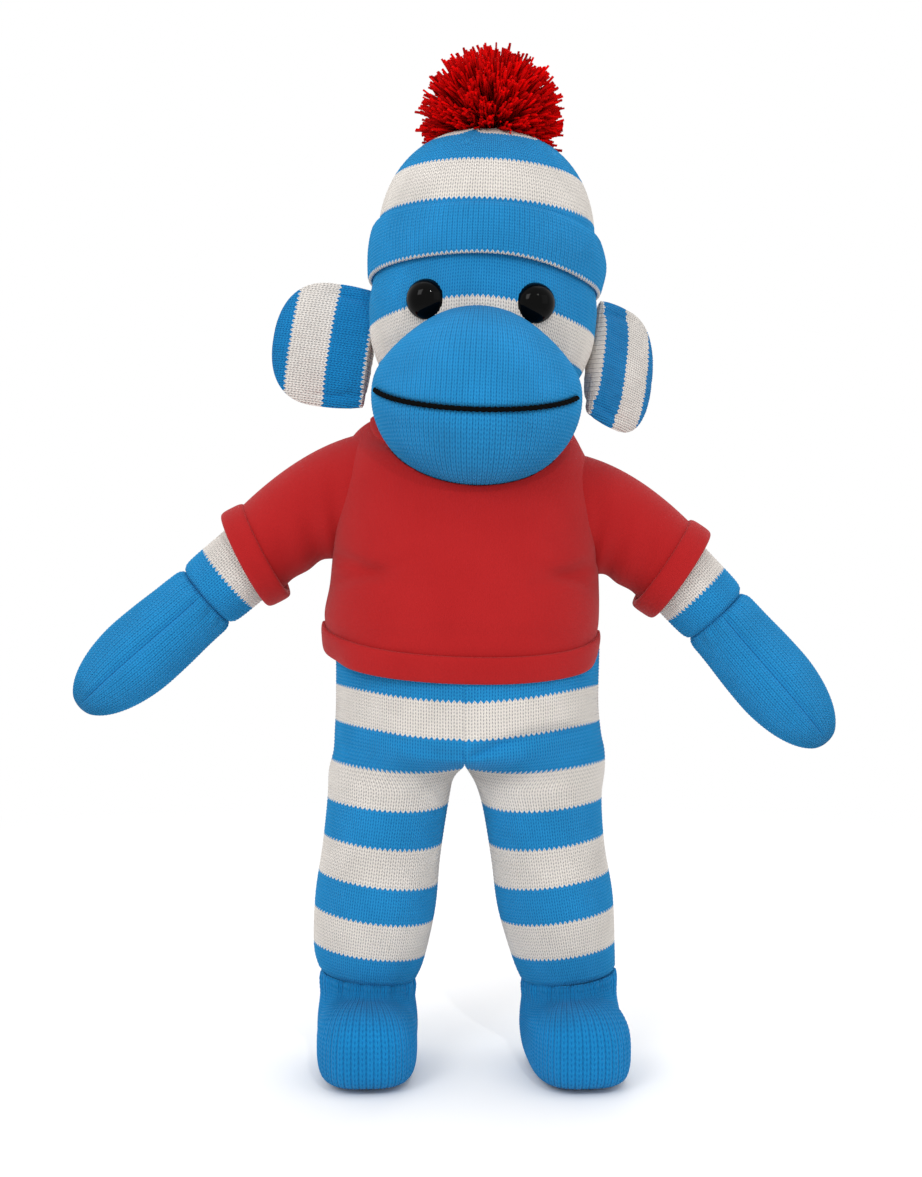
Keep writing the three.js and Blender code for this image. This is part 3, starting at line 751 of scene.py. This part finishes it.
def shirtRings():
    # ovals whose front and back each have their own depth and drop
    rings = throughPoints(shirt["rings"], shirt["rows"])
    z, x, wide, front, back, dropFront, dropBack = rings.T[..., None]
    a = ringAngles(shirt["cols"])
    c, s = np.cos(a), np.sin(a)
    across = np.sign(s) * np.abs(s) ** 0.92
    ahead = np.where(c < 0, front, back) * np.sign(c) * np.abs(c) ** 0.96
    drop = np.where(c < 0, dropFront, dropBack) * np.abs(c) ** 0.9
    drop = drop + shirt["tilt"] * across * (1 - smoothStep(z, 175, 200))
    return np.stack([x + wide * across, ahead, z - drop], axis=-1), lengthAlong(rings[:, [0, 2]])


def clearOfMuzzle(points, room):
    # a point inside the muzzle's egg, made larger by the room, moves out along the line from its centre
    own = (points - headAt) @ headTurn - muzzle["centre"]
    share = np.linalg.norm(own / (np.array(muzzle["size"]) + room), axis=-1, keepdims=True)
    own = np.where(share < 1, own / np.maximum(share, 0.05), own)
    return placed(own + muzzle["centre"], headTurn, headAt)


def shirtFolds(points):
    # soft creases that run in from each armpit, bells across a sloping line, and waves across the belly
    x, z = points[..., 0] - middle[0], points[..., 2]
    front = smoothStep(-(points[..., 1] - middle[1]), 0, 25)
    deep = 0.5 * np.sin(z / 7.5 + x / 40) * bump(z, 178, 18) + 0.6 * bump(z, 171 - 0.001 * x**2, 4.0)
    for side, slope, start in shirt["folds"]:
        line = start - slope * (50 - side * x)
        deep += shirt["foldDeep"] * bump(z, line, 3.4) * smoothStep(side * x, 8, 46)
    return deep * front


def makeCloth(name, points, around, up):
    # a sheet of jersey, thickened inwards
    girth = np.arange(points.shape[1] + 1) / points.shape[1] * around
    obj = gridMesh(name, points, gridUv(girth, up), jersey)
    solid = obj.modifiers.new("cloth", "SOLIDIFY")
    solid.thickness = shirt["thick"] / 1000
    solid.offset = -1
    return obj


def makeShirt():
    # the rings, creased along their normals, with a band below and a band round the neck
    points, up = shirtRings()
    points = points + middle
    points = points - gridNormals(points) * shirtFolds(points)[..., None]
    points = clearOfMuzzle(points, 0.3)
    body = makeCloth("shirtBody", points, shirt["girth"], up)
    describe(body, ["shirt_body"], "torso")
    normal = gridNormals(points)
    upward = unit(np.gradient(points, axis=0))
    hemRing = points[0] - upward[0] * (shirt["hemHeight"] / 2 - 1) + normal[0] * 0.5
    hem = band("shirtHem", hemRing, normal[0], upward[0], shirt["hemHeight"], shirt["hemThick"])
    neckRing = points[-1] + upward[-1] * 0.6 + normal[-1] * 0.2
    collar = band("shirtCollar", neckRing, normal[-1], upward[-1], shirt["collarHeight"],
                  shirt["collarThick"])
    describe(hem, ["shirt_hem"], "torso")
    describe(collar, ["shirt_collar"], "torso")


def makeSleeve(name):
    # rings along a quadratic curve, upright inside the shirt's side and deep at the armpit, that turn to the
    # cuff's slope as they go
    facts = arms[name]
    sign, steep = facts["sign"], math.radians(facts["cuffDown"])
    pivot = jointAt[name + "_arm_raise"]
    root = pivot + np.array([-sign * sleeve["root"], 0, facts["shoulder"]])
    bend = pivot + np.array([sign * sleeve["bend"], 0, facts["shoulder"]])
    end = pivot + armWay(facts) * sleeve["end"]
    t = np.linspace(0, 1, sleeve["rows"])[:, None]
    centre = root * (1 - t) ** 2 + 2 * bend * t * (1 - t) + end * t**2
    below = sleeve["below"][1] + (sleeve["below"][0] - sleeve["below"][1]) * (1 - smoothStep(t, 0.0, 0.95))
    deep = sleeve["deep"][1] + (sleeve["deep"][0] - sleeve["deep"][1]) * (1 - smoothStep(t, 0, 0.8))
    a = ringAngles(sleeve["cols"])
    folds = np.sin(9 * t * np.pi + 2 * np.sin(a)) * bump(np.sin(a), -0.6, 0.7) * smoothStep(t, 0.1, 0.5)
    folds = sleeve["folds"] * folds
    rise = np.where(np.sin(a) > 0, sleeve["above"], below) * np.sin(a) * (1 + folds / 20)
    tilt = steep * smoothStep(t, 0, 0.9)
    x = centre[:, :1] + rise * np.sin(tilt) * sign
    y = centre[:, 1:2] + deep * np.cos(a) * (1 + folds / 25)
    z = centre[:, 2:] + rise * np.cos(tilt)
    obj = makeCloth(name + "Sleeve", np.stack([x, y, z], axis=-1), sleeve["girth"], lengthAlong(centre))
    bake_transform(obj)
    describe(obj, [name + "_sleeve"])
    # the folded end is a band round the sleeve's last ring
    through = np.array([math.cos(steep) * sign, 0, -math.sin(steep)])
    upright = np.array([math.sin(steep) * sign, 0, math.cos(steep)])
    outward = np.sin(a)[:, None] * upright + np.cos(a)[:, None] * np.array([0, 1.0, 0])
    upward = np.broadcast_to(-through, outward.shape)
    ring = end + outward * sleeve["cuffSize"]
    cuff = band(name + "SleeveCuff", ring, outward, upward, sleeve["cuffHeight"], sleeve["cuffThick"])
    describe(cuff, [name + "_sleeve_cuff"], name + "_arm")


makeShirt()
makeSleeve("left")
makeSleeve("right")
print("shirt made")

head = {
    "depth": 0.93, "wales": 145, "sag": 5.5, "change": 45.8,
    # half width and height, from the neck up
    "outline": [(0, 3.5), (16, 4.5), (34, 15), (43.4, 31), (45.6, 47), (44.6, 58), (43.6, 70), (40.5, 82),
                (34, 92)],
}


def makeHead():
    # a lathed outline, flatter front to back, whose stripes sag behind the muzzle
    down = lengthAlong(throughPoints(head["outline"], 400))[-1]
    r, z = throughPoints(head["outline"], int(down / knit["course"] * 2)).T
    cols = head["wales"] * knit["perWale"]
    points = ringTube(r, r * head["depth"], z, cols)
    points = np.concatenate([points, toAxis(points[-1:])])
    along = np.append(lengthAlong(np.stack([r, z], axis=1)), down)
    v = ((along - np.interp(head["change"], z, along[:-1])) / knit["course"])[:, None]
    v = v + head["sag"] * (1 - bump(np.arange(cols + 1) / cols * 2 * np.pi, np.pi, 0.8))
    obj = knitPiece("headKnit", placed(points, headTurn, headAt), head["wales"], v, headStripes)
    describe(obj, ["head_skin", "head_stuffing"], "head")


def mouthLevel(part):
    # the mouth's height on the muzzle: lowest in the middle, part is -1 and 1 at its corners
    return muzzle["mouthRise"] * np.abs(part) ** 2 - muzzle["mouthDrop"]


def makeMuzzle():
    # an egg whose poles are pushed back into the head, narrower at the top, with a crease for the mouth
    span, wales, backCols = muzzle["span"], muzzle["wales"], muzzle["backCols"]
    front = np.linspace(-span, span, wales * knit["perWale"] + 1)
    back = np.linspace(span, 360 - span, backCols + 2)[1:-1]
    lon = np.radians(np.concatenate([front, back]))
    lat = np.linspace(-np.pi / 2, np.pi / 2, muzzle["rows"])[:, None]
    p = np.stack([np.cos(lat) * np.sin(lon), -np.cos(lat) * np.cos(lon), np.sin(lat) + 0 * lon], axis=-1)
    p[..., 1] += 0.75 * p[..., 2] ** 2
    p = unit(p)
    points = p * muzzle["size"]
    part = np.degrees(np.arctan2(p[..., 0], -p[..., 1])) / muzzle["corner"]
    above = points[..., 2] - mouthLevel(part)
    crease = bump(above, 0, 1.4) * (1 - smoothStep(np.abs(part), 1.0, 1.12))
    puff = bump(above, 4.5, 4.0) * 0.5 + bump(above, -5, 4.0) * 0.5
    points = points * (1 + ((puff - 1.1 * crease) * (1 - smoothStep(np.abs(part), 0.9, 1.2)) / 38)[..., None])
    points[..., 0] *= 1 - muzzle["narrow"] * smoothStep(points[..., 2], 4, 34)
    u = np.concatenate([np.linspace(0, wales, len(front)), wales + np.linspace(0, 1, backCols + 2)[1:]])
    v = (lat[:, 0] * muzzle["size"][1]) / knit["course"]
    points = placed(points + muzzle["centre"], headTurn, headAt)
    obj = knitPiece("muzzleKnit", points, u, v, plainBlue, rib=0.35)
    describe(obj, ["muzzle_skin", "muzzle_stuffing"], "head")


mouth = {"points": 420, "sides": 16, "lie": 0.45, "radius": 0.88, "lump": 0.13, "ply": 2.2}


def makeMouth():
    # two plies twisted: the section is a peanut, radius plus lump cos 2a, that turns along the yarn
    part = np.linspace(-1, 1, mouth["points"])
    angle = np.radians(muzzle["corner"] * part)
    up = mouthLevel(part)
    wide, deep, high = muzzle["size"]
    level = np.sqrt(1 - (up / high) ** 2)
    x = (wide + mouth["lie"]) * level * np.sin(angle)
    y = -(deep + mouth["lie"]) * level * np.cos(angle)
    line = np.stack([x, y, up], axis=-1) + muzzle["centre"]
    way = unit(np.gradient(line, axis=0))
    out = line - muzzle["centre"]
    out = unit(out - (out * way).sum(axis=1, keepdims=True) * way)
    over = np.cross(way, out)
    a = ringAngles(mouth["sides"])
    twist = lengthAlong(line)[:, None] / mouth["ply"] * np.pi * 2
    taper = np.minimum(1, np.minimum(part + 1.004, 1.004 - part) * 40)[:, None]
    radius = (mouth["radius"] + mouth["lump"] * np.cos(2 * (a - twist / 2))) * taper
    points = line[:, None] + (radius * np.cos(a))[..., None] * out[:, None]
    points = points + (radius * np.sin(a))[..., None] * over[:, None]
    points = np.concatenate([toMiddle(points[:1]), points, toMiddle(points[-1:])])
    uv = np.zeros((len(points), len(a) + 1, 2))
    obj = gridMesh("mouthYarn", placed(points, headTurn, headAt), uv, mouthYarn, poles=True)
    shade = obj.data.attributes.new("shade", "FLOAT", "POINT")
    shade.data.foreach_set("value", np.full(len(obj.data.vertices), 0.5, np.float32))
    describe(obj, ["mouth_yarn"], "head")


eyes = {
    "x": 20.4, "front": -43.0, "z": 44.8, "rows": 60, "sides": 64,
    # half width, and how far behind the dome's tip
    "outline": [(0, 0), (3, 0.45), (5.3, 1.7), (6.9, 3.6), (7.7, 5.6), (7.6, 6.9), (6.8, 7.6), (4, 7.9),
                (0, 7.9)],
}


def makeEye(name, sign):
    # a dome turned about its own shank: flatter than half a ball, with a rounded rim
    r, d = throughPoints(eyes["outline"], eyes["rows"]).T[..., None]
    a = ringAngles(eyes["sides"])
    y = eyes["front"] + d + 0 * a
    points = np.stack([sign * eyes["x"] + r * np.sin(a), y, eyes["z"] + r * np.cos(a)], axis=-1)
    uv = np.zeros((len(points), len(a) + 1, 2))
    obj = gridMesh(name + "Eye", placed(points, headTurn, headAt), uv, eyePlastic, poles=True)
    describe(obj, [name + "_eye", name + "_eye_washer"], "head")


makeHead()
makeMuzzle()
makeMouth()
makeEye("left", 1)
makeEye("right", -1)
print("head made")

ears = {
    "rows": 96, "halfCols": 64, "root": -3.0, "widest": 17.0, "length": 39.5, "halfHeight": 25.25,
    "thick": 4.2, "groove": 0.9, "place": (47.5, 4.0, 31.6), "droop": 7.0,
    "leftBack": 52.0, "rightBack": -10.0,  # degrees that turn each to the back
    # distances from the head where the yarn changes, from off-white to blue, to off-white and so on
    "changes": [-18.0, -2.1, 13.9, 31.0, 46.4],
}


def makeEar(name, sign):
    # a flat round pad: at each distance x from the head its half height is a rounded outline, its thickness a
    # lens, and a groove runs round inside its edge
    t = np.sin(np.linspace(0, np.pi / 2, ears["rows"]))[:, None]
    x = ears["root"] + (ears["length"] - ears["root"]) * t
    s = (x - ears["widest"]) / np.where(x < ears["widest"], 40.0, ears["length"] - ears["widest"])
    j = np.sin(np.linspace(-np.pi / 2, np.pi / 2, ears["halfCols"] + 1))
    j = np.concatenate([j[:-1], j[::-1][:-1]])
    face = np.repeat([-1.0, 1.0], ears["halfCols"])
    z = ears["halfHeight"] * np.clip(1 - np.abs(s) ** 2.5, 0, 1) ** (1 / 2.3) * j
    edge = 1 - np.clip(np.abs(s) ** 2.6 + np.abs(z / ears["halfHeight"]) ** 2.6, 0, 1)
    lens = np.clip(1 - np.abs(j) ** 2.6, 0, 1) ** 0.55 * np.clip(1 - np.maximum(s, 0) ** 3, 0, 1) ** 0.55
    groove = bump(edge, 0.42, 0.10) * (1 - smoothStep(x, 14, 22))
    y = face * (ears["thick"] * lens * (0.75 + 0.25 * edge) - ears["groove"] * groove * (lens > 0.2))
    flat = np.stack([x + 0 * y, y, z], axis=-1)
    flat = np.concatenate([flat[:1] * [1, 0, 0], flat])
    u = np.concatenate([flat[..., 2], flat[:, :1, 2]], axis=1) / knit["wale"] + 40
    v = np.interp(flat[:, 0, 0], ears["changes"], (np.arange(5) - 1) * knit["stripe"])
    turn = turnedAbout("z", ears[name + "Back"] + (0 if sign > 0 else 180))
    turn = turn @ turnedAbout("y", sign * ears["droop"])
    own = placed(flat, turn, np.array(ears["place"]) * [sign, 1, 1])
    obj = knitPiece(name + "EarKnit", placed(own, headTurn, headAt), u, v, earKnit)
    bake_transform(obj)
    describe(obj, [name + "_ear_skin", name + "_ear_pad"])


makeEar("left", 1)
makeEar("right", -1)
print("ears made")

hat = {
    "wales": 138, "centre": 73.0, "radius": 43.6, "rise": 46.5, "square": 2.3, "low": 62.0, "depth": 0.95,
    "gatherFrom": 24.0, "gathers": 0.9, "dimple": 3.0,
    # heights between which the crown is blue, and where and how far the blue reaches up into the off-white
    "blueFrom": 99.0, "blueTo": 111.8,
    "notches": [(0.26, 3.6), (-0.93, 3.8), (1.1, 2.4), (2.0, 3.6), (2.8, 3.0), (-1.7, 3.2), (-2.5, 2.8)],
    # radius and height of the turned-up edge: from its inside below, out and up, to its inside above
    "cuffWales": 150, "cuffRows": 110,
    "cuff": [(43.8, 61.5), (44.5, 60.1), (45.6, 59.4), (46.5, 60.4), (46.9, 64), (47.1, 70), (46.7, 75.4),
             (45.8, 79.6), (44.4, 81.2), (43.2, 80.4), (42.9, 78)],
}


def makeCrown():
    # a dome: |r/radius|^square + |h/rise|^square = 1; near its top the gathers make folds that deepen inwards
    low = math.asin((hat["low"] - hat["centre"]) / hat["rise"])
    turn = np.linspace(low, np.pi / 2 - 0.02, 400)
    power = 2 / hat["square"]
    r = hat["radius"] * np.cos(turn) ** power
    z = hat["centre"] + hat["rise"] * np.sign(turn) * np.abs(np.sin(turn)) ** power
    line = np.stack([r, z], axis=1)
    line = throughPoints(line[::8], int(lengthAlong(line)[-1] / knit["course"] * 2.2))
    r, z = line.T
    along = lengthAlong(line)
    cols = hat["wales"] * knit["perWale"]
    a = ringAngles(cols)
    gather = hat["gathers"] * smoothStep(-r, -hat["gatherFrom"], -3)[:, None]
    folds = np.cos(17 * a + 0.8 * np.sin(3 * a)) * 1.3 + np.cos(9 * a + 1) * 0.7
    points = ringTube(r, r * hat["depth"], z, cols)
    points[..., 2] += gather * folds - hat["dimple"] * smoothStep(-r, -7, 0)[:, None]
    points = np.concatenate([toAxis(points[:1]), points, toMiddle(points[-1:])])
    # courses are counted so that the blue is one stripe, and the notches shift them
    turns = np.interp([hat["blueFrom"], hat["blueTo"]], z, along)
    v = (along - turns[0]) / (turns[1] - turns[0]) * knit["stripe"]
    v = np.concatenate([v[:1], v, v[-1:]])[:, None]
    front = np.append(a, 2 * np.pi) - np.pi
    shift = sum(deep * bump(front, at, 0.10) for at, deep in hat["notches"])
    v = v - shift * smoothStep(v, 4, 10)
    obj = knitPiece("hatCrown", placed(points, headTurn, headAt), hat["wales"], v, stripedKnit)
    describe(obj, ["hat_crown"], "head")


def makeCuff():
    # the profile carried round, wider at the left, lifted over the face, lower at the sides, with slow waves
    line = throughPoints(hat["cuff"], hat["cuffRows"])
    r, z = line.T[..., None]
    a = ringAngles(hat["cuffWales"] * knit["perWale"])
    flare = 1.6 * bump(a, np.pi / 2 + 0.1, 0.6) * bump(z, 70, 8)
    lift = 2.2 * bump(a, np.pi, 0.8) * (1 - smoothStep(z, 60, 74)) - np.sin(a) - 2.5 * np.sin(a) ** 2
    wave = 0.5 * np.sin(3 * a + 0.6) + 0.35 * np.sin(5 * a)
    x = (r + flare + 0.3 * wave) * np.sin(a)
    y = (r + 0.3 * wave) * np.cos(a) * hat["depth"]
    points = placed(np.stack([x, y, z + 0.5 * wave + lift], axis=-1), headTurn, headAt)
    v = lengthAlong(line) / knit["course"]
    obj = knitPiece("hatCuff", points, hat["cuffWales"], v, cuffKnit, poles=False, relief=1.2, rib=0.4)
    describe(obj, ["hat_cuff"], "head")


makeCrown()
makeCuff()
print("hat made")

pompom = {"strands": 5600, "rings": 7, "sides": 3, "radius": 28.3, "flat": 0.97, "yarn": 0.47, "clumps": 420,
          "seed": 7, "centre": 125.0, "lowest": -0.42}


def makePompom():
    # cut yarns that fan out from the tie to the ball's outside, each a quadratic curve with a sway, drawn
    # together in clumps
    draw = np.random.default_rng(pompom["seed"])
    rings, sides = pompom["rings"], pompom["sides"]
    way = unit(draw.normal(size=(pompom["strands"], 3)))
    clump = unit(draw.normal(size=(pompom["clumps"], 3)))
    near = clump[np.argmax(way @ clump.T, axis=1)]
    way = unit(way + (near - way) * draw.uniform(0.2, 0.85, (len(way), 1)))
    way = way[way[:, 2] > pompom["lowest"]]
    count = len(way)
    centre = np.array([0, 0, pompom["centre"]])
    reach = pompom["radius"] * draw.uniform(0.84, 1.03, count) * (1 + 0.035 * draw.normal(size=count))
    reach = reach[:, None]
    tip = centre + way * reach * [1, 1, pompom["flat"]]
    root = centre + np.array([0, 0, -5.0]) + draw.normal(size=(count, 3)) * 1.3
    bend = centre * 0.5 + root * 0.5 + way * reach * 0.42 + draw.normal(size=(count, 3)) * 1.2
    t = np.linspace(0.08, 1, rings)[None, :, None]
    line = root[:, None] * (1 - t) ** 2 + 2 * bend[:, None] * t * (1 - t) + tip[:, None] * t**2
    sway = draw.normal(size=(count, 1, 3)) * 0.9 * np.sin(t * draw.uniform(5, 10, (count, 1, 1)))
    line = line + sway * t
    # a few-sided tube round each line
    step = unit(np.gradient(line, axis=1))
    side = unit(np.cross(step, np.array([0.31, 0.52, 0.79])))
    other = np.cross(step, side)
    a = ringAngles(sides)[:, None]
    thick = pompom["yarn"] * (0.75 + 0.35 * t) * draw.uniform(0.8, 1.25, (count, 1, 1))
    ring = np.cos(a) * side[:, :, None] + np.sin(a) * other[:, :, None]
    vertices = (line[:, :, None] + thick[..., None] * ring).reshape(-1, 3)
    one = np.arange(rings * sides).reshape(rings, sides)
    beside = np.roll(one, -1, axis=1)
    quads = np.stack([one[:-1], beside[:-1], beside[1:], one[1:]], axis=-1).ravel()
    strand = np.concatenate([quads, one[0][::-1], one[-1]])
    corners = strand + (np.arange(count) * rings * sides)[:, None]
    sizes = np.tile([4] * (len(quads) // 4) + [3, 3], count)
    obj = newPiece("pompomYarn", placed(vertices, headTurn, headAt), corners.ravel(), sizes, pompomYarn)
    obj.data.validate()
    # each strand's random tone, darkened towards the tie by painted shade inside the ball
    own = draw.uniform(0.3, 1.05, (count, 1)) * np.linspace(0.1, 1.0, rings)[None] ** 1.3
    shade = obj.data.attributes.new("shade", "FLOAT", "POINT")
    shade.data.foreach_set("value", np.repeat(own.ravel(), sides).astype(np.float32))
    describe(obj, ["pompom_yarn", "pompom_tie"], "pompom")


makePompom()
print("pompom made")

neck = {"wales": 36, "rows": 40, "low": -9.0, "high": 10.0, "radius": 11.5, "waist": 1.2}


def makeNeck():
    # a short tube between the body and the head, drawn in at the middle by its thread
    z = np.linspace(neck["low"], neck["high"], neck["rows"])
    r = neck["radius"] - neck["waist"] * bump(z, 0, 3.0)
    points = ringTube(r, r, z, neck["wales"] * knit["perWale"])
    points = np.concatenate([toAxis(points[:1]), points, toAxis(points[-1:])])
    v = np.concatenate([z[:1], z, z[-1:]]) / knit["course"]
    obj = knitPiece("neckKnit", points + jointAt["neck_turn"], neck["wales"], v, stripedKnit)
    describe(obj, ["neck_stuffing", "neck_thread"], "neck")


makeNeck()
print("neck made")
